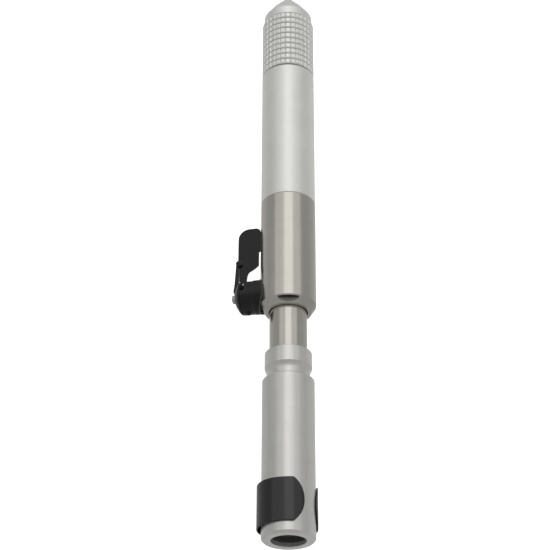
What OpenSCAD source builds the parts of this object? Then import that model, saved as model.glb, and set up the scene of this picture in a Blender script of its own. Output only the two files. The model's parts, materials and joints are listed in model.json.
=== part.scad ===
// Telescopic hand pump: a hollow shaft with a piston, fixed in a chuck barrel, and a
// handle that slides over the shaft. A quarter-turn lever on the handle locks the shaft.
// Lies along +Y. Origin: centre of the valve mouth, on the pump's axis.
// +Y towards the handle's tip, +Z up, the lever side is -X.

/* [Chuck barrel] */
// Radius of the chuck barrel
barrel_r = 11; // [10.5:0.1:11.4]
// Length of the wide part of the barrel, up to the groove
barrel_len = 69.6; // [60:0.2:69.6]
// Radius at the bottom of the finger groove
groove_floor_r = 9.1; // [9:0.05:9.6]
// Radius of the collar above the groove
collar_r = 10; // [9.8:0.1:10.4]
// Where the collar ends and the bare shaft begins
collar_top = 82; // [80:0.5:84]
// Radius of the valve mouth
mouth_r = 7.2; // [6.6:0.1:7.3]
// Radius of the rubber throat that grips the valve stem
throat_r = 3.05; // [2.9:0.05:4]

/* [Shaft and piston] */
// Outer radius of the hollow shaft
shaft_r = 8; // [8:0.5:8]
// Inner radius of the hollow shaft
shaft_bore_r = 6.5; // [6:0.1:6.8]
// Inner radius of the pump cylinder
cylinder_bore_r = 9.5; // [9.5:0.5:9.5]
// Height of the piston's crown at rest
piston_top = 209; // [205:0.5:209]

/* [Handle] */
// Outer radius of the handle's sleeves
handle_r = 12; // [12:0.1:12.3]
// Lower end of the steel nose sleeve
nose_start = 101.7; // [100:0.1:102]
// Turn of the spanner notches from the front towards the right, in degrees
notch_turn = 12.5; // [0:0.5:40]
// Where the steel sleeve meets the upper sleeve
sleeve_joint = 155.9; // [150:0.1:160]
// Where the upper sleeve meets the knurled cap
cap_joint = 225.4; // [225.4:0.1:226]
// Length of the knurled band
knurl_len = 30; // [27:3:30]
// Radius of the smooth neck above the knurl
neck_r = 11.2; // [11:0.1:11.5]
// Where the neck turns into the cone
cone_start = 260.4; // [259:0.1:261]
// Where the cone turns into the steel point
cone_end = 271.6; // [271:0.1:272]
// Overall length, at the tip of the point
tip_end = 274.4; // [273.8:0.1:275]

/* [Lever lock] */
// Place of the lock's turning axis along the pump
lock_y = 111; // [110.6:0.1:111.2]
// Radius of the lock housing
housing_r = 7.3; // [7:0.1:7.5]
// Distance of the housing's outer face from the pump's axis
housing_end = 20; // [19.8:0.1:20]
// Thickness of the lever plate
plate_t = 0.8; // [0.6:0.1:1]
// Far end of the lever plate
plate_top = 146; // [142:0.5:148]

/* [Spring band] */
// Thickness of the spring band
band_t = 0.6; // [0.5:0.05:0.8]
// Lower edge of the band
band_start = 4.7; // [3:0.1:30]
// Height of the band
band_h = 18.2; // [14:0.2:20]
// How far the band bulges off the barrel on the lever side
band_bulge = 1.2; // [0.6:0.1:1.4]

/* [Output] */
// Node to build: all, or one name from the list below

/* [Hidden] */
$fn = 96;
run_fit = 0.05;

mouth_chamfer = 0.25;
barrel_chamfer = 0.9;
lip_top = 2;
gland_r = shaft_r - run_fit;
gland_top = 16;
washer_t = 2;
shaft_foot = gland_top + washer_t;
shaft_top = 197;
shoulder_chamfer = 0.5;
groove_arc_r = 6.5;
groove_mid = barrel_len + 2.2;
shaft_seal_y = 30;
shaft_seal_r = 0.8;

piston_r = cylinder_bore_r - 0.3;
seal_section_r = 1.2;
seal_y = 206;
passage_r = 1.6;
seat_y = 203.6;
valve_room_r = 3.4;
valve_room_start = 190.4;
poppet_r = 2.8;
poppet_lift = 1;

nose_bore_r = 8.35;
nose_cone_len = 3.3;
nose_cone_r = 9.9;
edge_break = 0.3;
nose_wall_end = 117;
sleeve_bore_r = 10.5;
notch_w = 8.9;
notch_floor = 10.2;
notch_end = 104.5;
cylinder_r = sleeve_bore_r - run_fit;
cylinder_start = 128;
cylinder_end = 240;
cap_thread_r = cylinder_r + run_fit;
plug_start = 229;
knurl_pitch = 3;
knurl_count = 30;
knurl_depth = 0.45;
knurl_groove_w = 1.1;
cap_crest_r = handle_r - 0.05;

stub_r = 5;
plunger_r = 2.9;
plunger_tip = 8.4;
pad_len = 1.2;
plunger_end = 14;
spindle_r = 4;
spindle_start = 14.6;
stem_r = 1.5;
stem_start = 11.4;
flange_end = 14.7;
flange_r = housing_r + 0.2;
saddle_t = 0.5;
slot_start = 17.6;
slot_back_deg = 8;
screw_x = 17.5;
set_screw_r = 1.1;
link_start = 20.15;
link_rim_end = 20.5;
link_end = 23.2;
link_face_r = 3;
disc_r = 7.2;
pin_y = 128.1;
pin_x = 21.85;
pin_r = 0.7;
eye_r = 1.1;
knuckle_r = 1.3;
head_r = 1.9;
head_end = 24.65;

band_in_r = barrel_r + 0.06;
band_right = 0.25;
band_mid = band_start + band_h / 2;
band_tab_sag = 4.4;
band_gap_from = 44.5;
band_gap_to = 84;

// Stands a shape drawn upright (axis +Z, front -Y) down along +Y, with its front up.
module lay() {
  rotate([-90, 0, 0]) children();
}

// A turned piece from a list of [radius, height] points.
module turned(points) {
  lay() rotate_extrude() polygon(points);
}

// A plain ring between two radii.
module ring(inner, outer, from, to) {
  turned([[inner, from], [outer, from], [outer, to], [inner, to]]);
}

// A cylinder on the lock's cross axis, between two distances from the pump's axis.
module cross(r, near, far, y = lock_y) {
  translate([-far, y, 0]) rotate([0, 90, 0]) cylinder(r = r, h = far - near);
}

// A rubber ring of round section.
module o_ring(mid_r, section_r, y) {
  lay() translate([0, 0, y]) rotate_extrude() translate([mid_r, 0]) circle(r = section_r);
}

module chuck_body() {
  color([0.72, 0.73, 0.73]) lay() rotate_extrude() difference() {
    polygon([
      [mouth_r + mouth_chamfer, 0],
      [barrel_r - barrel_chamfer, 0],
      [barrel_r, barrel_chamfer],
      [barrel_r, barrel_len - shoulder_chamfer],
      [barrel_r - shoulder_chamfer, barrel_len],
      [collar_r, barrel_len],
      [collar_r, collar_top - 0.3],
      [collar_r - 0.3, collar_top],
      [shaft_r, collar_top],
      [shaft_r, lip_top],
      [mouth_r, lip_top],
      [mouth_r, mouth_chamfer]
    ]);
    intersection() {
      translate([groove_floor_r + groove_arc_r, groove_mid]) circle(r = groove_arc_r);
      translate([shaft_r, barrel_len]) square([5, 12]);
    }
    translate([shaft_r - 1, shaft_seal_y - shaft_seal_r])
      square([1 + 2 * shaft_seal_r, 2 * shaft_seal_r]);
  }
}

module valve_gland() {
  color([0.1, 0.1, 0.1]) turned([
    [mouth_r, lip_top],
    [gland_r, lip_top],
    [gland_r, gland_top],
    [throat_r, gland_top],
    [throat_r, 8.5],
    [mouth_r, 6.5]
  ]);
}

module gland_washer() {
  color([0.72, 0.58, 0.28]) ring(throat_r + 0.3, gland_r, gland_top, shaft_foot);
}

module shaft_seal() {
  color([0.1, 0.1, 0.1]) o_ring(shaft_r + shaft_seal_r, shaft_seal_r, shaft_seal_y);
}

module shaft_tube() {
  color([0.66, 0.65, 0.63]) ring(shaft_bore_r, shaft_r, shaft_foot, shaft_top);
}

module topout_bumper() {
  color([0.15, 0.15, 0.15]) ring(shaft_r, piston_r - 0.1, shaft_top - 3, shaft_top);
}

module piston_head() {
  color([0.72, 0.58, 0.28]) lay() rotate_extrude() difference() {
    polygon([
      [valve_room_r, valve_room_start - 2],
      [shaft_bore_r, valve_room_start - 2],
      [shaft_bore_r, shaft_top],
      [piston_r, shaft_top],
      [piston_r, piston_top - 0.5],
      [piston_r - 0.5, piston_top],
      [passage_r, piston_top],
      [passage_r, seat_y],
      [valve_room_r, seat_y]
    ]);
    translate([piston_r - 1.3, 199]) square([2, 3.5]);
    translate([piston_r - 2.2, seal_y - seal_section_r]) square([3, 2 * seal_section_r]);
  }
}

module piston_ring() {
  color([0.85, 0.84, 0.8]) ring(piston_r - 1.3, cylinder_bore_r - run_fit, 199, 202.5);
}

module piston_seal() {
  color([0.1, 0.1, 0.1])
    o_ring(cylinder_bore_r - run_fit - seal_section_r, seal_section_r, seal_y);
}

module spring_seat() {
  color([0.72, 0.58, 0.28])
    ring(1.2, valve_room_r, valve_room_start - 2, valve_room_start);
}

module check_spring() {
  // a wire coil: its section lies almost flat, so it is drawn as a long thin crescent
  half_arc = 78;
  crescent = concat(
    [for (a = [-half_arc : 19.5 : half_arc])
      (2.1 + 0.35 * sqrt(1 - pow(a / half_arc, 2))) * [cos(a), sin(a)]],
    [for (a = [half_arc - 19.5 : -19.5 : -half_arc + 19.5])
      (2.1 - 0.35 * sqrt(1 - pow(a / half_arc, 2))) * [cos(a), sin(a)]]
  );
  color([0.7, 0.7, 0.7]) translate([0, valve_room_start, 0]) lay()
    translate([0, 0, 0.05])
      linear_extrude(height = 7.9, twist = -1800, slices = 60, $fn = 8) polygon(crescent);
}

module check_poppet() {
  color([0.2, 0.2, 0.2]) turned([
    [0, 198.5],
    [poppet_r, 198.5],
    [poppet_r, seat_y - 1.6],
    [poppet_r - 0.8, seat_y - 0.05],
    [0, seat_y - 0.05]
  ]);
}

// The band's outline seen along the pump: two half rounds with straight flanks.
module band_outline(grow) {
  translate([-band_bulge, 0]) circle(r = band_in_r + grow);
  translate([band_right - 0.06, 0]) circle(r = band_in_r + grow);
  translate([-band_bulge, -band_in_r - grow])
    square([band_bulge + band_right - 0.06, 2 * (band_in_r + grow)]);
}

// A pie slice of the band's gap, in degrees from the front towards the right.
module gap_slice(from, to) {
  polygon([
    [0, 0],
    [30 * sin(from), -30 * cos(from)],
    [30 * sin(to), -30 * cos(to)]
  ]);
}

// Cuts one end of the band to a rounded tab whose tip is at the given angle.
module tab_cut(tip_deg, sense) {
  tab_r = (pow(band_h / 2, 2) + pow(band_tab_sag, 2)) / (2 * band_tab_sag);
  reach = barrel_r + 0.6;
  rotate([0, 0, tip_deg]) difference() {
    translate([sense > 0 ? -band_tab_sag * 1.15 : -1, -reach - 4, band_start - 1])
      cube([band_tab_sag * 1.15 + 1, 8, band_h + 2]);
    translate([-sense * tab_r, 0, band_mid]) rotate([90, 0, 0])
      cylinder(r = tab_r, h = 30);
  }
}

module spring_band() {
  color([0.14, 0.14, 0.13]) lay() difference() {
    translate([0, 0, band_start]) linear_extrude(height = band_h) difference() {
      band_outline(band_t);
      band_outline(0);
      gap_slice(band_gap_from, band_gap_to);
    }
    tab_cut(band_gap_from, 1);
    tab_cut(band_gap_to, -1);
  }
}

module nose_sleeve() {
  color([0.6, 0.59, 0.57]) difference() {
    turned([
      [nose_bore_r, nose_start],
      [nose_cone_r, nose_start],
      [handle_r, nose_start + nose_cone_len],
      [handle_r, sleeve_joint - edge_break],
      [handle_r - edge_break, sleeve_joint],
      [sleeve_bore_r, sleeve_joint],
      [sleeve_bore_r, nose_wall_end],
      [nose_bore_r, nose_wall_end]
    ]);
    // spanner notches at the mouth, on opposite sides
    for (side = [0, 1]) rotate([0, notch_turn + 180 * side, 0])
      translate([-notch_w / 2, nose_start - 1, notch_floor])
        cube([notch_w, notch_end - nose_start + 1, 5]);
    cross(stub_r, 7, 13);
  }
}

module upper_sleeve() {
  color([0.74, 0.75, 0.75]) turned([
    [sleeve_bore_r, sleeve_joint],
    [handle_r - edge_break, sleeve_joint],
    [handle_r, sleeve_joint + edge_break],
    [handle_r, cap_joint - 0.4],
    [handle_r - 0.4, cap_joint],
    [sleeve_bore_r, cap_joint]
  ]);
}

module pump_cylinder() {
  color([0.7, 0.71, 0.71])
    ring(cylinder_bore_r, cylinder_r + run_fit, cylinder_start, cylinder_end);
}

module rod_bearing() {
  color([0.85, 0.84, 0.8])
    ring(shaft_r + run_fit, sleeve_bore_r, nose_wall_end + 3, cylinder_start);
}

module rod_wiper() {
  color([0.1, 0.1, 0.1]) turned([
    [shaft_r + run_fit, nose_wall_end],
    [sleeve_bore_r, nose_wall_end],
    [sleeve_bore_r, nose_wall_end + 3],
    [shaft_r + 0.8, nose_wall_end + 3],
    [shaft_r + run_fit, nose_wall_end + 1.2]
  ]);
}

module cylinder_plug() {
  color([0.7, 0.71, 0.71]) lay() rotate_extrude() difference() {
    translate([0, plug_start]) square([cylinder_bore_r, 8]);
    translate([cylinder_bore_r - 1.6, plug_start + 2]) square([2, 1.6]);
  }
}

module plug_ring() {
  color([0.1, 0.1, 0.1]) o_ring(cylinder_bore_r - 0.8, 0.8, plug_start + 2.8);
}

module cap_ring() {
  color([0.1, 0.1, 0.1])
    ring(cap_thread_r + run_fit, handle_r - 0.6, cap_joint + 0.05, cap_joint + 0.55);
}

// The grooves of the square knurl: rings round the band and slots along it.
module knurl_grooves() {
  rings = knurl_len / knurl_pitch;
  for (i = [0 : rings]) lay() translate([0, 0, cap_joint + 0.6 + i * knurl_pitch])
    rotate_extrude() polygon([
      [cap_crest_r - knurl_depth, 0],
      [cap_crest_r + 0.1, -knurl_groove_w / 2 - 0.12],
      [cap_crest_r + 0.1, knurl_groove_w / 2 + 0.12]
    ]);
  lay() for (i = [0 : knurl_count - 1]) rotate([0, 0, (i + 0.5) * 360 / knurl_count])
    translate([cap_crest_r, 0, cap_joint - 1]) rotate([0, 0, 45])
      translate([-0.62, -0.62, 0]) cube([1.24, 1.24, knurl_len + 2]);
}

module grip_cap() {
  color([0.74, 0.75, 0.75]) difference() {
    turned([
      [0, cylinder_end + 4],
      [cap_thread_r + run_fit, cylinder_end + 0.5],
      [cap_thread_r + run_fit, cap_joint + 0.6],
      [cap_crest_r - 0.3, cap_joint + 0.6],
      [cap_crest_r, cap_joint + 0.9],
      [cap_crest_r, cap_joint + knurl_len - 0.3],
      [neck_r, cap_joint + knurl_len],
      [neck_r, cone_start],
      [7.2, cone_start + 5.6],
      [2.3, cone_end],
      [1, cone_end],
      [1, cone_end - 5],
      [0, cone_end - 5]
    ]);
    knurl_grooves();
  }
}

module tip_point() {
  color([0.5, 0.49, 0.47]) turned([
    [0, cone_end - 5],
    [1, cone_end - 5],
    [1, cone_end],
    [2.2, cone_end],
    [2.2, cone_end + 0.2],
    [0.9, tip_end - 0.4],
    [0.5, tip_end],
    [0, tip_end]
  ]);
}

module saddle_seal() {
  color([0.08, 0.08, 0.08]) difference() {
    intersection() {
      ring(handle_r, handle_r + saddle_t, lock_y - 12, lock_y + 12);
      cross(flange_r + 0.2, 6, flange_end);
    }
    cross(stub_r, 6, flange_end + 1);
  }
}

module lock_housing() {
  color([0.12, 0.12, 0.12]) difference() {
    union() {
      difference() {
        union() {
          cross(flange_r, 6, flange_end);
          cross(housing_r, 6, housing_end);
        }
        lay() cylinder(r = handle_r + saddle_t, h = 200);
      }
      cross(stub_r, nose_bore_r + 0.4, 14);
    }
    lay() cylinder(r = nose_bore_r, h = 200);
    cross(plunger_r + run_fit, 0, spindle_start + 1);
    cross(spindle_r + run_fit, spindle_start - 0.2, housing_end + 1);
    // slot the lever's tang swings in
    translate([-slot_start, lock_y, 0]) rotate([0, -90, 0])
      linear_extrude(height = 4) polygon([
        [0, 0],
        [-20 * sin(slot_back_deg), 20 * cos(slot_back_deg)],
        [20, 20],
        [20, 0]
      ]);
    translate([-screw_x, lock_y - housing_r - 2, 0]) lay()
      cylinder(r = set_screw_r, h = 6);
  }
}

module housing_screw() {
  color([0.25, 0.25, 0.25]) translate([-screw_x, lock_y - housing_r - 0.6, 0]) lay()
    difference() {
      cylinder(r = set_screw_r, h = 4.5);
      translate([0, 0, -1]) cylinder(r = 0.55, h = 1.9, $fn = 6);
    }
}

module lock_spindle() {
  color([0.5, 0.5, 0.5]) difference() {
    union() {
      cross(stem_r, stem_start, spindle_start + 1);
      cross(spindle_r, spindle_start, housing_end);
    }
    // groove for the set screw's nose
    difference() {
      cross(spindle_r + 1, screw_x - set_screw_r - 0.1, screw_x + set_screw_r + 0.1);
      cross(spindle_r - 0.9, screw_x - 2, screw_x + 2);
    }
    // cross slot that holds the lever's tang
    translate([-housing_end - 1, lock_y + 1, -plate_t / 2])
      cube([housing_end + 0.5 - slot_start, 8, plate_t]);
    cross(0.8, slot_start - 0.6, housing_end + 1);
  }
}

module lock_plunger() {
  color([0.6, 0.59, 0.57]) difference() {
    cross(plunger_r, plunger_tip + pad_len, plunger_end);
    cross(stem_r + run_fit, stem_start - 0.6, plunger_end + 1);
  }
}

module plunger_pad() {
  color([0.72, 0.58, 0.28]) cross(plunger_r - 0.3, plunger_tip, plunger_tip + pad_len);
}

module lever_plate() {
  // outline in distance from the pump's axis and place along it
  color([0.16, 0.16, 0.15]) difference() {
    union() {
      translate([0, 0, -plate_t / 2]) linear_extrude(height = plate_t) polygon([
        [-pin_x, pin_y],
        [-22.4, pin_y + 0.9],
        [-22.4, plate_top - 12],
        [-22.2, plate_top - 7],
        [-21.5, plate_top - 4.4],
        [-20.6, plate_top - 2.5],
        [-19.3, plate_top - 1],
        [-17.4, plate_top - 0.2],
        [-15, plate_top],
        [-13.4, plate_top - 0.6],
        [-12.6, plate_top - 1.4],
        [-12.25, plate_top - 2.3],
        [-12.25, 134.5],
        [-12.8, 134.2],
        [-13, 133.8],
        [-13, 127.4],
        [-13.6, 126.5],
        [-14.9, 125.6],
        [-17.2, 124.2],
        [-17.8, 123.4],
        [-18.1, 122.4],
        [-18.4, 119.8],
        [-18.6, 118.4],
        [-18.6, lock_y + 1],
        [-19.95, lock_y + 1],
        [-19.95, lock_y + disc_r + 0.4],
        [-21.2, lock_y + disc_r + 0.6],
        [-21.8, lock_y + disc_r + 1.4],
        [-21.8, pin_y - 1]
      ]);
      translate([-pin_x, pin_y, -plate_t / 2]) cylinder(r = eye_r, h = plate_t);
    }
    translate([-pin_x, pin_y, -plate_t]) cylinder(r = pin_r + 0.02, h = 2 * plate_t);
  }
}

module lever_link() {
  color([0.13, 0.13, 0.13]) difference() {
    union() {
      cross(disc_r, link_start, link_rim_end);
      disc_cone();
      link_arm();
      translate([-pin_x, pin_y, -1.6]) cylinder(r = knuckle_r, h = 3.2);
    }
    // fork that takes the plate's eye
    translate([-25, lock_y + 11, -plate_t / 2 - 0.05]) cube([6, 10, plate_t + 0.1]);
    translate([-pin_x, pin_y, -5]) cylinder(r = pin_r + 0.02, h = 10);
    cross(0.8, link_start - 1, link_end + 2);
  }
}

// The conical outer side of the end disc.
module disc_cone() {
  translate([-link_rim_end, lock_y, 0]) rotate([0, -90, 0])
    cylinder(r1 = disc_r, r2 = link_face_r, h = link_end - link_rim_end);
}

// The arm from the end disc to the pin, thickest beside the pivot screw.
module link_arm() {
  translate([0, 0, -1.1]) linear_extrude(height = 2.2) polygon([
    [-22, lock_y],
    [-22, pin_y],
    [-23.1, pin_y],
    [-23.65, lock_y + 7.4],
    [-24.15, lock_y + 3.4],
    [-23.9, lock_y + head_r + 0.5],
    [-link_end, lock_y + head_r + 0.3],
    [-link_end, lock_y]
  ]);
}

module link_pin() {
  color([0.14, 0.14, 0.14]) translate([-pin_x, pin_y, -1.9])
    cylinder(r = pin_r, h = 3.8);
}

module lever_screw() {
  color([0.62, 0.61, 0.58]) difference() {
    union() {
      cross(0.8, slot_start + 0.2, link_end + 0.2);
      translate([-link_end, lock_y, 0]) rotate([0, -90, 0])
        cylinder(r1 = head_r, r2 = head_r - 0.4, h = head_end - link_end);
    }
    translate([-head_end - 1, lock_y - 0.25, -3]) cube([1.6, 0.5, 6]);
  }
}

chuck_body();
valve_gland();
gland_washer();
shaft_seal();
shaft_tube();
topout_bumper();
piston_head();
piston_ring();
piston_seal();
spring_seat();
check_spring();
check_poppet();
spring_band();
nose_sleeve();
upper_sleeve();
pump_cylinder();
rod_bearing();
rod_wiper();
cylinder_plug();
plug_ring();
cap_ring();
grip_cap();
tip_point();
saddle_seal();
lock_housing();
housing_screw();
lock_spindle();
lock_plunger();
plunger_pad();
lever_plate();
lever_link();
link_pin();
lever_screw();
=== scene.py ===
"""Looks of the telescopic hand pump: bright turned barrel and shaft, steel nose, satin sleeve
with a knurled cap, a black lever lock on the -X side and a black spring band.
All lengths are in metres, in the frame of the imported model: +Y towards the tip, +Z up."""

import json
import math

import bpy
import bmesh
from mathutils import Matrix, Vector


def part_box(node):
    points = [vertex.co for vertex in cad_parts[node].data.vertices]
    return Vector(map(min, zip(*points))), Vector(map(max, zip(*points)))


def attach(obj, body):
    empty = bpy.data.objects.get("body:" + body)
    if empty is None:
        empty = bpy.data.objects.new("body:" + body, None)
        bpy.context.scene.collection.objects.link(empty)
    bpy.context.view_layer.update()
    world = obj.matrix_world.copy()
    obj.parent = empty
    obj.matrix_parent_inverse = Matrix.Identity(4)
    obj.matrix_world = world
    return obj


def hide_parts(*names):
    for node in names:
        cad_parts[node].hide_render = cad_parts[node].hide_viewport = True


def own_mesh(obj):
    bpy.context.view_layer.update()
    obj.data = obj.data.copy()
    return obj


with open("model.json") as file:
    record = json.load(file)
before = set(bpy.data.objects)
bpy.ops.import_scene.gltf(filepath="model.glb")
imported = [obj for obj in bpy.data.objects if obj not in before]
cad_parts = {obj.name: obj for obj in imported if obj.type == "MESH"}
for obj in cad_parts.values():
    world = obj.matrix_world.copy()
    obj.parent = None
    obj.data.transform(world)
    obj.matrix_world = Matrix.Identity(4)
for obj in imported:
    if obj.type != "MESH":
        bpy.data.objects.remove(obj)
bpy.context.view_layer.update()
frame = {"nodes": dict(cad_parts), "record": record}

MM = 0.001
TURN = 2 * math.pi
SEGMENTS = 144
BODY_OF = {
    node: body
    for body, members in frame["record"]["behaviour"]["bodies"].items()
    for node in members
}
SLOT_OF = {name: node.data.materials[0].name for name, node in frame["nodes"].items()}

# Directions that a turned piece can stand in, as turns of the +Y axis.
ALONG_PUMP = Matrix.Identity(4)
ACROSS = Matrix.Rotation(math.radians(90), 4, "Z")
UPRIGHT = Matrix.Rotation(math.radians(90), 4, "X")

# The lever lock's turning axis crosses the pump's axis here.
LOCK_Y = (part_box("lock_spindle")[0].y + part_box("lock_spindle")[1].y) / 2
LOCK_AT = Vector((0, LOCK_Y, 0))

# The notches, the camera and the lights are turned from the front towards +X, so that the
# lock, which stays on -X, leans away from the camera.
TILT = Matrix.Rotation(math.radians(12.5), 4, "Y")


# ---------------------------------------------------------------- shapes

def softened(points, steps=4):
    """A closed outline with rounded corners. Each point is (a, b) or (a, b, corner radius)."""
    outline = []
    for i, point in enumerate(points):
        here = Vector(point[:2])
        radius = point[2] if len(point) > 2 else 0
        back = Vector(points[i - 1][:2]) - here
        ahead = Vector(points[(i + 1) % len(points)][:2]) - here
        if radius <= 0:
            outline.append(here)
            continue
        half = back.angle(ahead) / 2
        reach = min(radius / math.tan(half), 0.49 * back.length, 0.49 * ahead.length)
        start = here + back.normalized() * reach
        end = here + ahead.normalized() * reach
        middle = (back.normalized() + ahead.normalized()).normalized()
        centre = here + middle * (reach / math.cos(half))
        arm = start - centre
        turn = arm.angle_signed(end - centre)
        for k in range(steps + 1):
            outline.append(centre + Matrix.Rotation(-turn * k / steps, 2) @ arm)
    return outline


def skin(name, rows, ring=True, loop=False):
    """A mesh over rows of points. A row of one point is a pole. ring joins each row's ends,
    loop joins the last row to the first."""
    verts = []
    index = []
    for row in rows:
        index.append(list(range(len(verts), len(verts) + len(row))))
        verts += [tuple(p) for p in row]
    faces = []
    pairs = list(zip(index, index[1:])) + ([(index[-1], index[0])] if loop else [])
    for low, high in pairs:
        count = max(len(low), len(high))
        if count == 1:
            continue
        for i in range(count if ring else count - 1):
            j = (i + 1) % count
            if len(low) == 1:
                faces.append((low[0], high[j], high[i]))
            elif len(high) == 1:
                faces.append((low[i], low[j], high[0]))
            else:
                faces.append((low[i], low[j], high[j], high[i]))
    mesh = bpy.data.meshes.new(name)
    mesh.from_pydata(verts, [], faces)
    return placed(name, mesh)


def placed(name, mesh):
    """An object for the mesh, with its faces turned outwards."""
    bm = bmesh.new()
    bm.from_mesh(mesh)
    bmesh.ops.recalc_face_normals(bm, faces=bm.faces)
    bm.to_mesh(mesh)
    bm.free()
    obj = bpy.data.objects.new(name, mesh)
    bpy.context.scene.collection.objects.link(obj)
    return obj


def lathe(name, outline, stand=ALONG_PUMP, at=(0, 0, 0), segments=SEGMENTS):
    """A turned piece from a closed outline of (radius, height) points."""
    angles = [TURN * i / segments for i in range(segments)]
    rows = []
    for r, h in outline:
        if r < 1e-7:
            rows.append([(0, h, 0)])
        else:
            rows.append([(r * math.sin(t), h, r * math.cos(t)) for t in angles])
    on_axis = sum(len(row) == 1 for row in rows)
    obj = skin(name, rows, loop=on_axis == 0)
    obj.data.transform(Matrix.Translation(at) @ stand)
    return obj


def plate(name, outline, low, high):
    """A flat plate: an (x, y) outline from height low to height high."""
    rows = [[(p[0], p[1], z) for p in outline] for z in (low, high)]
    obj = skin(name, rows)
    bm = bmesh.new()
    bm.from_mesh(obj.data)
    bm.verts.ensure_lookup_table()
    count = len(outline)
    bm.faces.new([bm.verts[i] for i in range(count)])
    bm.faces.new([bm.verts[i] for i in reversed(range(count, 2 * count))])
    bmesh.ops.recalc_face_normals(bm, faces=bm.faces)
    bm.to_mesh(obj.data)
    bm.free()
    return obj


def block(name, low, high):
    """A box between two corners, for cutting and for square bars."""
    corners = [(low[0], low[1]), (high[0], low[1]), (high[0], high[1]), (low[0], high[1])]
    return plate(name, corners, low[2], high[2])


def apply_modifiers(obj):
    """Makes what the modifiers give the object's own mesh."""
    bpy.context.view_layer.update()
    shown = obj.evaluated_get(bpy.context.evaluated_depsgraph_get())
    mesh = bpy.data.meshes.new_from_object(shown)
    obj.modifiers.clear()
    obj.data = mesh


def combine(obj, operation, *tools):
    """Cuts the tools out of the object, or joins or keeps them; the tools are used up."""
    for tool in tools:
        step = obj.modifiers.new("combine", "BOOLEAN")
        step.operation = operation
        step.solver = "EXACT"
        step.object = tool
    apply_modifiers(obj)
    for tool in tools:
        bpy.data.objects.remove(tool)


def bevelled(obj, width, steps=3, angle=35):
    """Rounds every edge that is sharper than the angle."""
    bevel = obj.modifiers.new("bevel", "BEVEL")
    bevel.width = width
    bevel.segments = steps
    bevel.limit_method = "ANGLE"
    bevel.angle_limit = math.radians(angle)
    bevel.harden_normals = False
    apply_modifiers(obj)
    bm = bmesh.new()
    bm.from_mesh(obj.data)
    bmesh.ops.dissolve_degenerate(bm, dist=0.0005 * MM, edges=bm.edges)
    bm.to_mesh(obj.data)
    bm.free()


def finished(obj, *nodes, sharp=50):
    """Shades the piece and lets it stand for its CAD nodes, on their body and in their slot."""
    for face in obj.data.polygons:
        face.use_smooth = True
    obj.data.set_sharp_from_angle(angle=math.radians(sharp))
    weighted = obj.modifiers.new("even_shading", "WEIGHTED_NORMAL")
    weighted.keep_sharp = True
    obj.data.materials.clear()
    obj.data.materials.append(MATERIALS[SLOT_OF[nodes[0]]])
    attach(obj, BODY_OF[nodes[0]])
    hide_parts(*nodes)
    return obj


# ------------------------------------------------------------- materials

class Nodes:
    """A short way to write a node tree."""

    def __init__(self, name):
        self.material = bpy.data.materials.new(name)
        self.material.use_nodes = True
        self.tree = self.material.node_tree
        self.tree.nodes.clear()
        self.shader = self.add("ShaderNodeBsdfPrincipled")
        output = self.add("ShaderNodeOutputMaterial")
        self.link(self.shader.outputs["BSDF"], output.inputs["Surface"])
        self.place = self.add("ShaderNodeTexCoord").outputs["Object"]

    def add(self, kind, **settings):
        node = self.tree.nodes.new(kind)
        for key, value in settings.items():
            setattr(node, key, value)
        return node

    def link(self, output, target):
        self.tree.links.new(output, target)

    def noise(self, stretch, detail, rough=0.55):
        """Noise whose cycles per metre are given along each axis."""
        mapping = self.add("ShaderNodeMapping")
        mapping.inputs["Scale"].default_value = stretch
        self.link(self.place, mapping.inputs["Vector"])
        noise = self.add("ShaderNodeTexNoise")
        noise.inputs["Scale"].default_value = 1.0
        noise.inputs["Detail"].default_value = detail
        noise.inputs["Roughness"].default_value = rough
        self.link(mapping.outputs["Vector"], noise.inputs["Vector"])
        return noise.outputs["Fac"]

    def ranged(self, value, low, high, start=0.3, end=0.7):
        """The value spread from low to high while it runs from start to end."""
        spread = self.add("ShaderNodeMapRange")
        for key, number in (("From Min", start), ("From Max", end), ("To Min", low), ("To Max", high)):
            spread.inputs[key].default_value = number
        self.link(value, spread.inputs["Value"])
        return spread.outputs["Result"]

    def mixed(self, share, first, second):
        """A colour between two; either may be a colour or another node's output."""
        mix = self.add("ShaderNodeMix", data_type="RGBA")
        self.link(share, mix.inputs["Factor"])
        for key, colour in (("A", first), ("B", second)):
            socket = [s for s in mix.inputs if s.name == key and s.type == "RGBA"][0]
            if isinstance(colour, tuple):
                socket.default_value = (*colour, 1)
            else:
                self.link(colour, socket)
        return [s for s in mix.outputs if s.type == "RGBA"][0]

    def maths(self, operation, first, second):
        node = self.add("ShaderNodeMath", operation=operation)
        for socket, value in zip(node.inputs, (first, second)):
            if isinstance(value, (int, float)):
                socket.default_value = value
            else:
                self.link(value, socket)
        return node.outputs["Value"]

    def edges(self, radius):
        """1 along worn edges and 0 on flat surfaces."""
        bevel = self.add("ShaderNodeBevel", samples=6)
        bevel.inputs["Radius"].default_value = radius
        geometry = self.add("ShaderNodeNewGeometry")
        dot = self.add("ShaderNodeVectorMath", operation="DOT_PRODUCT")
        self.link(bevel.outputs["Normal"], dot.inputs[0])
        self.link(geometry.outputs["Normal"], dot.inputs[1])
        return self.ranged(dot.outputs["Value"], 1.0, 0.0, 0.86, 0.995)

    def bump(self, height, depth):
        """A normal that follows the height, with the depth as its full relief."""
        bump = self.add("ShaderNodeBump")
        bump.inputs["Strength"].default_value = 1.0
        bump.inputs["Distance"].default_value = depth
        self.link(height, bump.inputs["Height"])
        return bump.outputs["Normal"]


# Noise cycles per metre: turning marks, and the slow cloud of handling.
FINE = 2600
COARSE = 90
WORN_EDGE = 0.25 * MM


def stretched(axis, along, across):
    """Cycles per metre with one value along the axis and one across it."""
    return tuple(along if a == axis else across for a in "xyz")


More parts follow.
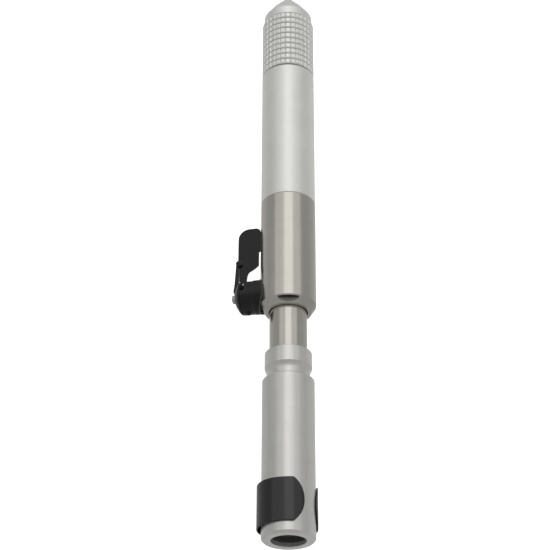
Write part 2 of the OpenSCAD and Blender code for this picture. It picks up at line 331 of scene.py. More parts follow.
def turned_metal(name, colour, roughness, depth, axis="y", spread=0.06, metallic=1.0, streaked=0.0):
    """Bare metal with fine marks round the axis that it was turned on, and darker streaks along the
    pump. Faces that carry the notch attribute are duller from milling and also get painted shade: their
    colour is darkened to stand in for the shade inside the notch."""
    m = Nodes(name)
    dark = tuple(c * 0.96 for c in colour)
    light = tuple(min(1, c * 1.04) for c in colour)
    worn = tuple(min(1, c * 1.12) for c in colour)
    marks = m.noise(stretched(axis, FINE, 60), 4)
    bands = m.noise(stretched(axis, 300, 12), 3)
    cloud = m.noise((COARSE,) * 3, 4)
    base = m.mixed(m.ranged(cloud, 0, 1), dark, light)
    base = m.mixed(m.ranged(bands, 0, 0.5), base, dark)
    streaks = m.noise(stretched("y", 7, 420), 4, 0.65)
    base = m.mixed(m.ranged(streaks, 0, streaked, 0.42, 0.62), base, tuple(c * 0.8 for c in colour))
    base = m.mixed(m.maths("MULTIPLY", m.edges(WORN_EDGE), 0.25), base, worn)
    milled_and_shaded = m.add("ShaderNodeAttribute", attribute_name="milled_and_shaded").outputs["Fac"]
    # Painted shade: on the notch faces the colour drops to a quarter, standing in for the shade inside
    # the recess.
    base = m.mixed(milled_and_shaded, base, tuple(c * 0.24 for c in colour))
    m.link(base, m.shader.inputs["Base Color"])
    grain = m.maths(
        "ADD",
        m.ranged(marks, -spread, spread),
        m.ranged(cloud, roughness - spread / 2, roughness + spread / 2),
    )
    grain = m.maths("ADD", grain, m.maths("MULTIPLY", milled_and_shaded, 0.25))
    m.link(grain, m.shader.inputs["Roughness"])
    m.shader.inputs["Metallic"].default_value = metallic
    m.link(m.bump(marks, depth), m.shader.inputs["Normal"])
    return m.material


def anodised(name, colour, roughness):
    """Bead-blasted aluminium under a clear anodised skin. Places that carry the groove attribute get
    painted shade: their colour is darkened down in the knurl's grooves, where shade falls."""
    m = Nodes(name)
    dark = tuple(c * 0.97 for c in colour)
    light = tuple(min(1, c * 1.03) for c in colour)
    grit = m.noise((5200,) * 3, 2)
    cloud = m.noise((COARSE,) * 3, 4)
    drawn = m.noise(stretched("y", 14, 260), 3)
    base = m.mixed(m.ranged(cloud, 0, 1), dark, light)
    base = m.mixed(m.ranged(drawn, 0, 0.35), base, dark)
    worn = tuple(min(1, c * 1.15) for c in colour)
    base = m.mixed(m.maths("MULTIPLY", m.edges(WORN_EDGE), 0.35), base, worn)
    # Painted shade: the colour halves down in the knurl's grooves, where shade falls.
    groove_shade = m.add("ShaderNodeAttribute", attribute_name="groove").outputs["Fac"]
    base = m.mixed(groove_shade, base, tuple(c * 0.5 for c in colour))
    m.link(base, m.shader.inputs["Base Color"])
    m.link(m.ranged(cloud, roughness - 0.03, roughness + 0.03), m.shader.inputs["Roughness"])
    m.shader.inputs["Metallic"].default_value = 0.78
    m.link(m.bump(grit, 0.002 * MM), m.shader.inputs["Normal"])
    return m.material


def blackened(name, colour, bare, roughness, wear, gloss):
    """Steel under a satin black coat that is rubbed through along its edges."""
    m = Nodes(name)
    cloud = m.noise((140,) * 3, 5)
    grit = m.noise((3000,) * 3, 3)
    scuff = m.noise((900, 500, 900), 6, 0.7)
    dark = tuple(c * 0.8 for c in colour)
    light = tuple(c * 1.25 for c in colour)
    edge = m.maths("MULTIPLY", m.edges(0.22 * MM), m.ranged(scuff, 0.15, 1, 0.35, 0.6))
    rubbed = m.maths("MULTIPLY", edge, wear)
    base = m.mixed(rubbed, m.mixed(m.ranged(cloud, 0, 1), dark, light), bare)
    m.link(base, m.shader.inputs["Base Color"])
    m.link(rubbed, m.shader.inputs["Metallic"])
    m.link(m.ranged(grit, roughness - 0.05, roughness + 0.06), m.shader.inputs["Roughness"])
    m.shader.inputs["Specular IOR Level"].default_value = gloss
    m.link(m.bump(grit, 0.0015 * MM), m.shader.inputs["Normal"])
    return m.material


def moulded(name, colour, roughness, depth):
    """Rubber or plastic with a fine moulded grain and a little dust."""
    m = Nodes(name)
    dark = tuple(c * 0.82 for c in colour)
    light = tuple(min(1, c * 1.18) for c in colour)
    worn = tuple(min(1, c * 1.6 + 0.01) for c in colour)
    cloud = m.noise((160,) * 3, 4)
    pores = m.noise((1800,) * 3, 3)
    base = m.mixed(m.ranged(cloud, 0, 1), dark, light)
    base = m.mixed(m.maths("MULTIPLY", m.edges(0.2 * MM), 0.2), base, worn)
    m.link(base, m.shader.inputs["Base Color"])
    m.link(m.ranged(pores, roughness - 0.06, roughness + 0.06), m.shader.inputs["Roughness"])
    m.link(m.bump(pores, depth), m.shader.inputs["Normal"])
    return m.material


MATERIALS = {
    "barrel_aluminium": turned_metal(
        "barrel_aluminium", (0.80, 0.795, 0.765), 0.32, 0.0006 * MM,
        spread=0.02, metallic=0.8, streaked=0.35
    ),
    "sleeve_aluminium": anodised("sleeve_aluminium", (0.95, 0.95, 0.915), 0.43),
    "nose_steel": turned_metal(
        "nose_steel", (0.675, 0.65, 0.59), 0.23, 0.0008 * MM, spread=0.03, streaked=0.35
    ),
    "shaft_steel": turned_metal(
        "shaft_steel", (0.66, 0.645, 0.59), 0.2, 0.0008 * MM, spread=0.03, streaked=0.3
    ),
    "screw_steel": turned_metal("screw_steel", (0.56, 0.55, 0.52), 0.3, 0.003 * MM, "x"),
    "spring_steel": turned_metal("spring_steel", (0.6, 0.6, 0.6), 0.3, 0.002 * MM),
    "lock_black": blackened(
        "lock_black", (0.005, 0.0055, 0.0055), (0.3, 0.29, 0.27), 0.3, wear=0.75, gloss=0.42
    ),
    "band_black": blackened(
        "band_black", (0.002, 0.002, 0.0013), (0.25, 0.25, 0.23), 0.2, wear=0.2, gloss=0.78
    ),
    "brass": turned_metal("brass", (0.78, 0.6, 0.3), 0.25, 0.003 * MM),
    "guide_plastic": moulded("guide_plastic", (0.78, 0.77, 0.72), 0.5, 0.01 * MM),
    "rubber": moulded("rubber", (0.065, 0.065, 0.06), 0.62, 0.02 * MM),
}


# ---------------------------------------------------------------- pieces

MOUTH_R = 7.2 * MM
MOUTH_EDGE = 0.25 * MM
BARREL_EDGE = 0.9 * MM
SHOULDER_Y = 69.6 * MM
GROOVE_FLOOR_R = 9.1 * MM
GROOVE_ARC_R = 6.5 * MM
GROOVE_MID_Y = 71.8 * MM
COLLAR_R = 10 * MM


def groove_arc(steps=14):
    """The finger groove from the barrel's shoulder up to the collar."""
    centre_r = GROOVE_FLOOR_R + GROOVE_ARC_R
    first = math.asin((SHOULDER_Y - GROOVE_MID_Y) / GROOVE_ARC_R)
    last = math.acos((centre_r - COLLAR_R) / GROOVE_ARC_R)
    angles = [first + (last - first) * k / steps for k in range(steps + 1)]
    return [
        (centre_r - GROOVE_ARC_R * math.cos(a), GROOVE_MID_Y + GROOVE_ARC_R * math.sin(a))
        for a in angles
    ]


def chuck_body():
    low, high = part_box("chuck_body")
    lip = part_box("valve_gland")[0].y
    shaft_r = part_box("shaft_tube")[1].x
    ring_low, ring_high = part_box("shaft_seal")
    lower = [
        (MOUTH_R + MOUTH_EDGE, low.y, 0.1 * MM),
        (high.x - BARREL_EDGE, low.y, 0.6 * MM),
        (high.x, low.y + BARREL_EDGE, 0.6 * MM),
        (high.x, SHOULDER_Y, 0.9 * MM),
    ]
    upper = [
        (COLLAR_R, high.y, 0.22 * MM),
        (shaft_r, high.y, 0.05 * MM),
        (shaft_r, ring_high.y),
        (ring_high.x, ring_high.y),
        (ring_high.x, ring_low.y),
        (shaft_r, ring_low.y),
        (shaft_r, lip),
        (MOUTH_R, lip),
        (MOUTH_R, low.y + MOUTH_EDGE, 0.15 * MM),
    ]
    groove = groove_arc()
    groove[0] = (*groove[0], 0.12 * MM)
    groove[-1] = (*groove[-1], 0.15 * MM)
    finished(lathe("barrel", softened(lower + groove + upper)), "chuck_body")


def valve_gland():
    low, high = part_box("valve_gland")
    throat = 3.05 * MM
    outline = softened([
        (MOUTH_R, low.y, 0.2 * MM),
        (high.x, low.y),
        (high.x, high.y),
        (throat, high.y, 0.2 * MM),
        (throat, low.y + 6.5 * MM, 1.2 * MM),
        (MOUTH_R, low.y + 2.5 * MM, 0.8 * MM),
    ], steps=5)
    finished(lathe("gland", outline, segments=96), "valve_gland")


def shaft_tube():
    low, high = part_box("shaft_tube")
    bore = 6.5 * MM
    edge = 0.25 * MM
    outline = softened([
        (bore, low.y, edge),
        (high.x, low.y, edge),
        (high.x, high.y, edge),
        (bore, high.y, edge),
    ])
    finished(lathe("shaft", outline), "shaft_tube")


SPRING_TURNS = 5
WIRE_R = 0.3 * MM


def check_spring():
    low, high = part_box("check_spring")
    coil_r = high.x - WIRE_R
    along = Vector((0, 1, 0))
    around = [TURN * k / 10 for k in range(10)]
    steps = 24 * SPRING_TURNS
    rise = high.y - low.y - 2 * WIRE_R
    rows = []
    for i in range(steps + 1):
        turn = TURN * SPRING_TURNS * i / steps
        outward = Vector((math.sin(turn), 0, math.cos(turn)))
        centre = outward * coil_r + Vector((0, low.y + WIRE_R + rise * i / steps, 0))
        rows.append([centre + WIRE_R * (math.cos(a) * outward + math.sin(a) * along) for a in around])
    first = low.y + WIRE_R
    ends = [Vector((0, first, coil_r)), Vector((0, first + rise, coil_r))]
    spring = finished(skin("coil_spring", [[ends[0]], *rows, [ends[1]]]), "check_spring")
    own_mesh(spring)


NOSE_BORE = 8.35 * MM
NOSE_MOUTH_R = 9.9 * MM
NOSE_CONE = 3.3 * MM
CONE_RINGS = 9
SLEEVE_BORE = 10.5 * MM
NOTCH_WIDTH = 8.9 * MM
NOTCH_FLOOR = 10.2 * MM
NOTCH_LENGTH = 2.8 * MM
# The lock's stub, and how far out the hole for it is cut through the nose's wall.
STUB_R = 5 * MM
STUB_HOLE_FROM = 7 * MM
STUB_HOLE_TO = 13 * MM


def nose_sleeve():
    low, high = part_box("nose_sleeve")
    wall_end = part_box("rod_wiper")[0].y
    # Rings along the cone keep its faces short, so that the notch's corners shade cleanly.
    cone = [
        (
            NOSE_MOUTH_R + (high.x - NOSE_MOUTH_R) * ring / CONE_RINGS,
            low.y + NOSE_CONE * ring / CONE_RINGS,
        )
        for ring in range(1, CONE_RINGS)
    ]
    outline = softened([
        (NOSE_BORE, low.y, 0.2 * MM),
        (NOSE_MOUTH_R, low.y, 0.12 * MM),
        *cone,
        (high.x, low.y + NOSE_CONE, 0.12 * MM),
        (high.x, high.y, 0.3 * MM),
        (SLEEVE_BORE, high.y, 0.05 * MM),
        (SLEEVE_BORE, wall_end),
        (NOSE_BORE, wall_end, 0.1 * MM),
    ])
    nose = lathe("nose", outline)
    hole = [(0, STUB_HOLE_FROM), (STUB_R, STUB_HOLE_FROM), (STUB_R, STUB_HOLE_TO), (0, STUB_HOLE_TO)]
    tools = [lathe("stub_hole", hole, ACROSS, LOCK_AT, 64)]
    for side in (1, -1):
        near, far = sorted((side * NOTCH_FLOOR, side * 15 * MM))
        notch = block(
            "notch",
            (-NOTCH_WIDTH / 2, low.y - MM, near),
            (NOTCH_WIDTH / 2, low.y + NOTCH_LENGTH, far),
        )
        notch.data.transform(TILT)
        tools.append(notch)
    combine(nose, "DIFFERENCE", *tools)
    bevelled(nose, 0.1 * MM, 3, 28)
    # The notch floors are marked for a duller milled finish and for painted shade, which darkens their
    # colour.
    slack = 0.02 * MM
    milled_and_shaded = nose.data.attributes.new("milled_and_shaded", "FLOAT", "FACE")
    for face in nose.data.polygons:
        centre = TILT.inverted() @ face.center
        within = abs(centre.x) < NOTCH_WIDTH / 2 + slack and centre.y < low.y + NOTCH_LENGTH + slack
        milled_and_shaded.data[face.index].value = within and abs(centre.z) > NOTCH_FLOOR - slack
    finished(nose, "nose_sleeve", sharp=28)


def upper_sleeve():
    low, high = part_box("upper_sleeve")
    outline = softened([
        (SLEEVE_BORE, low.y),
        (high.x, low.y, 0.3 * MM),
        (high.x, high.y, 0.45 * MM),
        (SLEEVE_BORE, high.y),
    ])
    finished(lathe("sleeve", outline), "upper_sleeve")


def cap_ring():
    low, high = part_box("cap_ring")
    bore = 10.55 * MM
    edge = 0.2 * MM
    corners = [(bore, low.y), (high.x, low.y), (high.x, high.y), (bore, high.y)]
    outline = softened([(*p, edge) for p in corners])
    finished(lathe("cap_seal", outline), "cap_ring")


KNURL_COLUMNS = 30
KNURL_ROWS = 10
KNURL_PITCH = 3 * MM
KNURL_CROWN = 0.09 * MM
RING_DEPTH = 0.6 * MM
RING_WIDTH = 0.95 * MM
COLUMN_DEPTH = 0.4 * MM
COLUMN_WIDTH = 0.75 * MM
# Depth below the crest from which the knurl's grooves get painted shade.
GROOVE_SHADE_FROM = 0.22 * MM
NECK_R = 11.2 * MM
NECK_END = 260.4 * MM
CAP_THREAD_R = 10.55 * MM


def knurl_depth(distance, pitch, depth, width):
    """How deep the surface lies at a distance from the nearest groove's middle."""
    half = width / 2
    if distance < half:
        return depth * (0.5 + 0.5 * math.cos(math.pi * distance / half)) + KNURL_CROWN
    across = (pitch / 2 - distance) / (pitch / 2 - half)
    return KNURL_CROWN * (1 - across) ** 2


# Places across one knurl, as shares of the pitch from the nearest groove's middle.
KNURL_STOPS = (-0.5, -0.32, -0.18, -0.12, -0.08, -0.04, 0.0, 0.04, 0.08, 0.12, 0.18, 0.32)


def grip_cap():
    low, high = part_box("grip_cap")
    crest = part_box("upper_sleeve")[1].x
    column = TURN * crest / KNURL_COLUMNS
    angles = [TURN * (c + 0.5 + s) / KNURL_COLUMNS for c in range(KNURL_COLUMNS) for s in KNURL_STOPS]
    sides = [
        knurl_depth(abs(s) * column, column, COLUMN_DEPTH, COLUMN_WIDTH) for s in KNURL_STOPS
    ] * KNURL_COLUMNS

    def plain(r, y):
        return [(r * math.sin(t), y, r * math.cos(t)) for t in angles]

    def knurled(y, row_depth):
        radii = [crest - max(row_depth, side) for side in sides]
        return [(r * math.sin(t), y, r * math.cos(t)) for r, t in zip(radii, angles)]

    rows = [plain(CAP_THREAD_R, low.y), plain(crest - RING_DEPTH - KNURL_CROWN, low.y)]
    for i in range(KNURL_ROWS + 1):
        middle = low.y + i * KNURL_PITCH
        for stop in KNURL_STOPS:
            y = middle + stop * KNURL_PITCH
            if low.y < y < low.y + KNURL_ROWS * KNURL_PITCH:
                depth = knurl_depth(abs(stop) * KNURL_PITCH, KNURL_PITCH, RING_DEPTH, RING_WIDTH)
                rows.append(knurled(y, depth))
    top = low.y + KNURL_ROWS * KNURL_PITCH
    rows.append(plain(crest - RING_DEPTH - KNURL_CROWN, top))
    crown = softened([
        (NECK_R - 0.35 * MM, top + 0.05 * MM),
        (NECK_R - 0.35 * MM, top + 0.3 * MM),
        (NECK_R, top + 0.5 * MM, 0.1 * MM),
        (NECK_R, NECK_END, 0.7 * MM),
        (7.25 * MM, NECK_END + 5.6 * MM, 16 * MM),
        (2.35 * MM, high.y, 0.2 * MM),
        (MM, high.y),
        (MM, high.y - 5 * MM),
        (0, high.y - 5 * MM),
        (0, low.y + 18 * MM),
        (CAP_THREAD_R, low.y + 14.5 * MM),
    ], steps=6)
    for r, y in crown:
        rows.append([(0, y, 0)] if r < 1e-7 else plain(r, y))
    cap = skin("knurled_cap", rows, loop=True)
    # Painted shade: the deeper parts of the knurl's grooves are marked so that their colour is
    # darkened.
    groove = cap.data.attributes.new("groove", "FLOAT", "POINT")
    for v in cap.data.vertices:
        depth = crest - KNURL_CROWN - math.hypot(v.co.x, v.co.z)
        on_knurl = low.y <= v.co.y < top + 0.4 * MM
        share = (depth - GROOVE_SHADE_FROM) / (RING_DEPTH - GROOVE_SHADE_FROM)
        groove.data[v.index].value = min(1, max(0, share)) if on_knurl else 0
    finished(cap, "grip_cap", sharp=60)


def tip_point():
    low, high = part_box("tip_point")
    shank = MM
    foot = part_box("grip_cap")[1].y
    outline = softened([
        (0, low.y),
        (shank, low.y),
        (shank, foot),
        (high.x, foot, 0.08 * MM),
        (high.x, foot + 0.3 * MM, 0.2 * MM),
        (0.95 * MM, high.y - 0.35 * MM, 0.6 * MM),
        (0, high.y),
    ], steps=5)
    finished(lathe("point", outline, segments=64), "tip_point")


def tab_sagitta(offset, height, sagitta):
    """How far a rounded tab has drawn back at an offset from its middle."""
    radius = (height ** 2 / 4 + sagitta ** 2) / (2 * sagitta)
    return radius - math.sqrt(radius ** 2 - offset ** 2)


BAND_THICK = 0.6 * MM
BAND_TAB = 4.4 * MM
BAND_FRONT_TIP = math.radians(44.5)
BAND_BACK_TIP = math.radians(84)


def spring_band():
    low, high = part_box("spring_band")
    outer = high.z
    radius = outer - BAND_THICK / 2
    left = low.x + outer
    right = high.x - outer
    height = high.y - low.y
    flank = right - left
    half_round = math.pi * radius

    def on_band(s):
        """The point and outward direction at an arc length from the front end of the right round."""
        if s < 0:
            turn = -s / radius
            return Vector((right + radius * math.sin(turn), radius * math.cos(turn)))
        if s < flank:
            return Vector((right - s, radius))
        s -= flank
        if s < half_round:
            turn = s / radius
            return Vector((left - radius * math.sin(turn), radius * math.cos(turn)))
        s -= half_round
        if s < flank:
            return Vector((left + s, -radius))
        turn = (s - flank) / radius
        return Vector((right + radius * math.sin(turn), -radius * math.cos(turn)))

    total = 2 * flank + half_round
    rows = []
    steps_up = 28
    steps_along = 150
    for i in range(steps_up + 1):
        y = low.y + height * i / steps_up
        drawn_back = tab_sagitta(y - (low.y + high.y) / 2, height, BAND_TAB)
        less = math.asin(drawn_back / radius)
        start = -radius * (BAND_FRONT_TIP - less)
        end = total + radius * (math.pi - BAND_BACK_TIP - less)
        row = [on_band(start + (end - start) * k / steps_along) for k in range(steps_along + 1)]
        rows.append([(p.x, y, p.y) for p in row])
    band = skin("band", rows, ring=False)
    shell = band.modifiers.new("thickness", "SOLIDIFY")
    shell.thickness = BAND_THICK
    shell.offset = 0
    apply_modifiers(band)
    bevelled(band, 0.16 * MM, 3, 60)
    finished(band, "spring_band", sharp=50)


SADDLE_T = 0.5 * MM


def onto_sleeve(obj, radius, reach):
    """Shapes the foot of a piece on the lock's axis to the sleeve: vertices closer to the
    pump's axis than reach move onto a cylinder round it."""
    for v in obj.data.vertices:
        distance = -v.co.x
        if distance < reach:
            over = distance - radius
            v.co.x = -math.sqrt((radius + over) ** 2 - v.co.z ** 2)


def saddle_seal():
    sleeve_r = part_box("nose_sleeve")[1].x
    inner = STUB_R
    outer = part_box("saddle_seal")[1].z
    edge = 0.15 * MM
    rings = 10
    radii = [inner + (outer - inner) * k / rings for k in range(rings + 1)]
    top = [(r, sleeve_r + SADDLE_T) for r in radii]
    bottom = [(r, sleeve_r + 0.01 * MM) for r in reversed(radii)]
    outline = softened([*top[:-1], (*top[-1], edge), (*bottom[0], edge), *bottom[1:]])
    saddle = lathe("saddle", outline, ACROSS, LOCK_AT, 96)
    onto_sleeve(saddle, sleeve_r, 1)
    finished(saddle, "saddle_seal")


def lock_housing():
    low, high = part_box("lock_housing")
    end = -low.x
    flange_r = high.z
    body_r = flange_r - 0.2 * MM
    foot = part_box("nose_sleeve")[1].x + SADDLE_T
    flange_end = 14.7 * MM
    plunger = 2.95 * MM
    spindle = 4.05 * MM
    room = 14.4 * MM
    solid = lathe("lock_body", softened([
        (plunger, 6 * MM),
        (flange_r, 6 * MM),
        (flange_r, flange_end, 0.3 * MM),
        (body_r, flange_end, 0.12 * MM),
        (body_r, end, 0.25 * MM),
        (spindle, end, 0.15 * MM),
        (spindle, room),
        (plunger, room),
    ]), ACROSS, LOCK_AT, 128)
    sleeve = lathe("sleeve_room", [(0, 0), (foot, 0), (foot, 0.2), (0, 0.2)])
    combine(solid, "DIFFERENCE", sleeve)
    stub_start = NOSE_BORE + 0.4 * MM
    stub_end = 13.5 * MM
    plug = lathe("lock_stub", [
        (plunger, stub_start),
        (STUB_R, stub_start),
        (STUB_R, stub_end),
        (plunger, stub_end),
    ], ACROSS, LOCK_AT, 96)
    combine(solid, "UNION", plug)
    slot_start = 17.6 * MM
    back = math.radians(8)
    reach = 20 * MM
    # The lever's tang swings from along the pump to straight up.
    swing = [(0, 0), (-reach * math.sin(back), reach * math.cos(back)), (reach, reach), (reach, 0)]
    wedge = plate("swing_room", swing, 0, 4 * MM)
    upright = Matrix.Rotation(-TURN / 4, 4, "Y")
    wedge.data.transform(Matrix.Translation((-slot_start, LOCK_Y, 0)) @ upright)
    screw_low, screw_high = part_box("housing_screw")
    screw_x = (screw_low.x + screw_high.x) / 2
    hole_r = (screw_high.x - screw_low.x) / 2
    bottom = -3 * MM
    depth = 3.6 * MM
    drilled = [(0, bottom), (hole_r, bottom), (hole_r, depth), (0, depth)]
    hole = lathe("screw_hole", drilled, ALONG_PUMP, (screw_x, screw_low.y, 0), 48)
    combine(solid, "DIFFERENCE", wedge, hole)
    bevelled(solid, 0.1 * MM, 2, 40)
    finished(solid, "lock_housing", sharp=40)


def housing_screw():
    low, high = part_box("housing_screw")
    r = (high.x - low.x) / 2
    socket_r = 0.55 * MM
    socket_end = low.y + 0.9 * MM
    outline = softened([
        (0, socket_end),
        (socket_r, socket_end),
        (socket_r, low.y, 0.05 * MM),
        (r, low.y, 0.15 * MM),
        (r, high.y, 0.1 * MM),
        (0, high.y),
    ])
    at = ((low.x + high.x) / 2, 0, 0)
    finished(lathe("set_screw", outline, ALONG_PUMP, at, 48), "housing_screw")


def lever_plate():
    low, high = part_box("lever_plate")
    pin_low, pin_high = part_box("link_pin")
    pin = (pin_low + pin_high) / 2
    pin_r = (pin_high.x - pin_low.x) / 2
    eye = 1.1 * MM
    right = high.x
    top = high.y - 0.25 * MM
    hook_y = 134.1 * MM
    disc_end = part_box("lever_link")[1].z + LOCK_Y
    paddle_left = -22.4 * MM
    neck_left = -21.7 * MM
    neck_right = -13.1 * MM
    tang_left = -19.9 * MM
    outline = softened([
        # The paddle, from the eye round its top to the hook.
        (pin.x, pin.y - 0.6 * MM, 0.3 * MM),
        (paddle_left, pin.y + 0.7 * MM, 0.6 * MM),
        (paddle_left, top, 5.6 * MM),
        (right, top, 2.4 * MM),
        (right, hook_y, 0.5 * MM),
        # The neck's side towards the sleeve, down to the tang.
        (neck_right, hook_y - 0.5 * MM, 0.3 * MM),
        (neck_right, 126.9 * MM, MM),
        (-15 * MM, 125.3 * MM, 1.5 * MM),
        (-17.5 * MM, 123.8 * MM, 1.2 * MM),
        (-18.15 * MM, 122.3 * MM, 1.5 * MM),
        (-18.55 * MM, 118.9 * MM, MM),
        (-18.6 * MM, low.y),
        (tang_left, low.y),
        # The outer side, past the end disc and back up to the eye.
        (tang_left, disc_end + 0.4 * MM, 0.3 * MM),
        (-21.1 * MM, disc_end + 0.6 * MM, 0.3 * MM),
        (neck_left, disc_end + 1.5 * MM, 0.5 * MM),
        (neck_left, pin.y - 1.2 * MM, 0.4 * MM),
    ], steps=8)
    blade = plate("lever", outline, low.z, high.z)
    at = (pin.x, pin.y, 0)
    half = high.z - 0.04 * MM
    disc = lathe("eye", [(0, -half), (eye, -half), (eye, half), (0, half)], UPRIGHT, at, 48)
    hole = lathe("eye_hole", [(0, -MM), (pin_r, -MM), (pin_r, MM), (0, MM)], UPRIGHT, at, 48)
    combine(blade, "UNION", disc)
    combine(blade, "DIFFERENCE", hole)
    bevelled(blade, 0.16 * MM, 3, 40)
    finished(blade, "lever_plate", sharp=40)


def lever_link():
    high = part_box("lever_link")[1]
    pin_low, pin_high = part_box("link_pin")
    pin = (pin_low + pin_high) / 2
    pin_r = (pin_high.x - pin_low.x) / 2
    disc_r = high.z
    near = -high.x
    far = near + 3.05 * MM
    bar_half = 1.1 * MM
    knuckle_r = 1.3 * MM
    knuckle_half = 1.6 * MM
    shank = 0.8 * MM
    disc = lathe("link", softened([
        (shank, near),
        (disc_r, near, 0.12 * MM),
        (disc_r, near + 0.5 * MM, 0.3 * MM),
        (6.3 * MM, near + 1.35 * MM, 1.5 * MM),
        (3.8 * MM, far - 0.35 * MM, 2 * MM),
        (2.6 * MM, far),
        (shank, far),
    ]), ACROSS, LOCK_AT, 128)
    bar = plate("bar", softened([
        (-22 * MM, LOCK_Y + MM),
        (-22 * MM, pin.y),
        (-23.1 * MM, pin.y),
        (-23.65 * MM, LOCK_Y + 7.4 * MM, 4 * MM),
        (-24.15 * MM, LOCK_Y + 3.4 * MM, 0.8 * MM),
        (-23.9 * MM, LOCK_Y + 2.4 * MM, 0.3 * MM),
        (-far, LOCK_Y + 2.2 * MM),
        (-far + 0.2 * MM, LOCK_Y + MM),
    ]), -bar_half, bar_half)
    at = (pin.x, pin.y, 0)
    knuckle = lathe("knuckle", [
        (0, -knuckle_half),
        (knuckle_r, -knuckle_half),
        (knuckle_r, knuckle_half),
        (0, knuckle_half),
    ], UPRIGHT, at, 48)
    combine(disc, "UNION", bar, knuckle)
    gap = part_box("lever_plate")[1].z + 0.05 * MM
    fork = block("fork", (-26 * MM, LOCK_Y + 11 * MM, -gap), (-19 * MM, LOCK_Y + 21 * MM, gap))
    half = 4 * MM
    hole = lathe("pin_hole", [(0, -half), (pin_r, -half), (pin_r, half), (0, half)], UPRIGHT, at, 48)
    combine(disc, "DIFFERENCE", fork, hole)
    bevelled(disc, 0.14 * MM, 2, 40)
    finished(disc, "lever_link", sharp=40)


def link_pin():
    low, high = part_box("link_pin")
    r = (high.x - low.x) / 2
    outline = softened([
        (0, low.z),
        (r, low.z, 0.25 * MM),
        (r, high.z, 0.25 * MM),
        (0, high.z),
    ])
    centre = (low + high) / 2
    finished(lathe("pin", outline, UPRIGHT, (centre.x, centre.y, 0), 48), "link_pin")


def lever_screw():
    low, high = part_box("lever_screw")
    head_r = high.z
    shank = 0.8 * MM
    seat = 23.2 * MM
    end = -low.x
    outline = softened([
        (0, -high.x),
        (shank, -high.x, 0.1 * MM),
        (shank, seat),
        (head_r, seat, 0.1 * MM),
        (head_r, end - 0.3 * MM, 0.3 * MM),
        (head_r - 0.45 * MM, end, 0.15 * MM),
        (0, end),
    ])
    screw = lathe("pivot_screw", outline, ACROSS, LOCK_AT, 64)
    slot_half = 0.25 * MM
    slot = block(
        "slot",
        (-end - MM, LOCK_Y - slot_half, -3 * MM),
        (-end + 0.6 * MM, LOCK_Y + slot_half, 3 * MM),
    )
    combine(screw, "DIFFERENCE", slot)
    bevelled(screw, 0.06 * MM, 2, 40)
    finished(screw, "lever_screw", sharp=40)


for build in (
    chuck_body, valve_gland, shaft_tube, check_spring, nose_sleeve, upper_sleeve, cap_ring,
    grip_cap, tip_point, spring_band, saddle_seal, lock_housing, housing_screw, lever_plate,
    lever_link, link_pin, lever_screw,
):
    build()

# The pieces inside keep their CAD shape and get the same finishes.
for name, node in frame["nodes"].items():
    node.data.materials[0] = MATERIALS[SLOT_OF[name]]


# ----------------------------------------------------------------- stage

FLOOR_Z = min(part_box("nose_sleeve")[0].z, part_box("spring_band")[0].z)


def floor():
    """A pale table that glows a little, so that it stays even."""
    half = 8
    table = skin("table", [[(x, y, FLOOR_Z) for x in (-half, half)] for y in (-half, half)], ring=False)
    m = Nodes("pale_table")
    cloud = m.noise((3, 3, 3), 2)
    m.link(m.mixed(cloud, (0.9, 0.9, 0.9), (0.92, 0.92, 0.92)), m.shader.inputs["Base Color"])
    m.shader.inputs["Roughness"].default_value = 0.9
    m.shader.inputs["Specular IOR Level"].default_value = 0
    m.shader.inputs["Emission Color"].default_value = (1, 1, 1, 1)
    m.shader.inputs["Emission Strength"].default_value = 0.95
    table.data.materials.append(m.material)
    table.visible_glossy = False


def panel(name, centre, size_x, size_y, radiance):
    """A soft light panel that faces straight down."""
    light = bpy.data.lights.new(name, "AREA")
    light.shape = "RECTANGLE"
    light.size = size_x
    light.size_y = size_y
    light.energy = radiance * size_x * size_y * math.pi
    obj = bpy.data.objects.new(name, light)
    obj.matrix_world = TILT @ Matrix.Translation(centre)
    bpy.context.scene.collection.objects.link(obj)


SKY_LEVEL = 0.36
SKY_EXTRA = 0.16


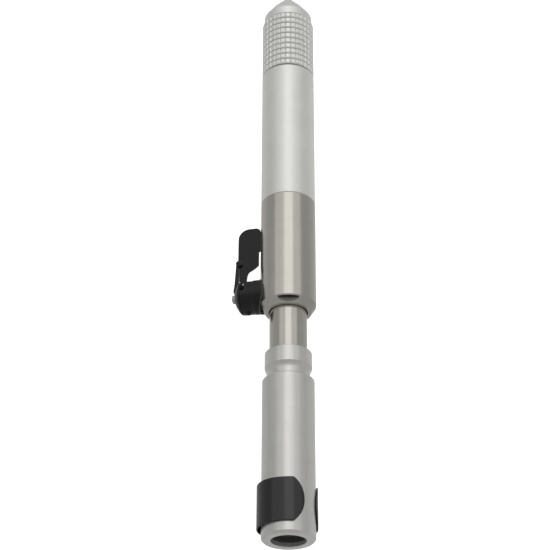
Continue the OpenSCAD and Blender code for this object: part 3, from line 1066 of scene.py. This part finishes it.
def sky_brightness(tree, background):
    """An even surround that is brighter low down beyond the tip."""
    direction = tree.nodes.new("ShaderNodeTexCoord").outputs["Generated"]
    shares = []
    down = TILT @ Vector((0, 0, -1))
    beyond_tip = Vector((0, 1, 0))
    for toward, gain in ((down, 1.2), (beyond_tip, 2)):
        dot = tree.nodes.new("ShaderNodeVectorMath")
        dot.operation = "DOT_PRODUCT"
        tree.links.new(direction, dot.inputs[0])
        dot.inputs[1].default_value = toward
        share = tree.nodes.new("ShaderNodeMath")
        share.operation = "MULTIPLY"
        share.use_clamp = True
        tree.links.new(dot.outputs["Value"], share.inputs[0])
        share.inputs[1].default_value = gain
        shares.append(share.outputs["Value"])
    both = tree.nodes.new("ShaderNodeMath")
    both.operation = "MULTIPLY"
    tree.links.new(shares[0], both.inputs[0])
    tree.links.new(shares[1], both.inputs[1])
    total = tree.nodes.new("ShaderNodeMath")
    total.operation = "MULTIPLY_ADD"
    tree.links.new(both.outputs["Value"], total.inputs[0])
    total.inputs[1].default_value = SKY_EXTRA
    total.inputs[2].default_value = SKY_LEVEL
    tree.links.new(total.outputs["Value"], background.inputs["Strength"])


def lights():
    """Long panels along the pump: a narrow bright one inside a wide dim one."""
    height = 0.85
    y = 1.05
    length = 1.8
    panel("key", (0, y, height), 0.56, length, 0.45)
    panel("fill", (-0.08, y, height + 0.01), 2.46, length, 0.27)
    world = bpy.data.worlds.new("studio")
    world.use_nodes = True
    background = world.node_tree.nodes["Background"]
    background.inputs["Color"].default_value = (1, 1, 1, 1)
    sky_brightness(world.node_tree, background)
    bpy.context.scene.world = world
    bpy.context.scene.view_settings.view_transform = "Standard"


def camera():
    """Looks down along the pump from the valve end, with a long lens."""
    data = bpy.data.cameras.new("camera")
    obj = bpy.data.objects.new("camera", data)
    bpy.context.scene.collection.objects.link(obj)
    tilt = math.radians(29.38)
    yaw = 0.0034
    data.sensor_width = 36
    data.lens = 98.7
    data.clip_start = 0.01
    data.clip_end = 20
    right = Vector((1, yaw, 0)).normalized()
    forward = Vector((-yaw * math.sin(tilt), math.sin(tilt), -math.cos(tilt))).normalized()
    up = right.cross(forward)
    turn = Matrix((right, up, -forward)).transposed().to_4x4()
    stand = Matrix.Translation((-4.65 * MM, -200.1 * MM, 569.5 * MM))
    obj.matrix_world = TILT @ stand @ turn
    bpy.context.scene.camera = obj


floor()
lights()
camera()
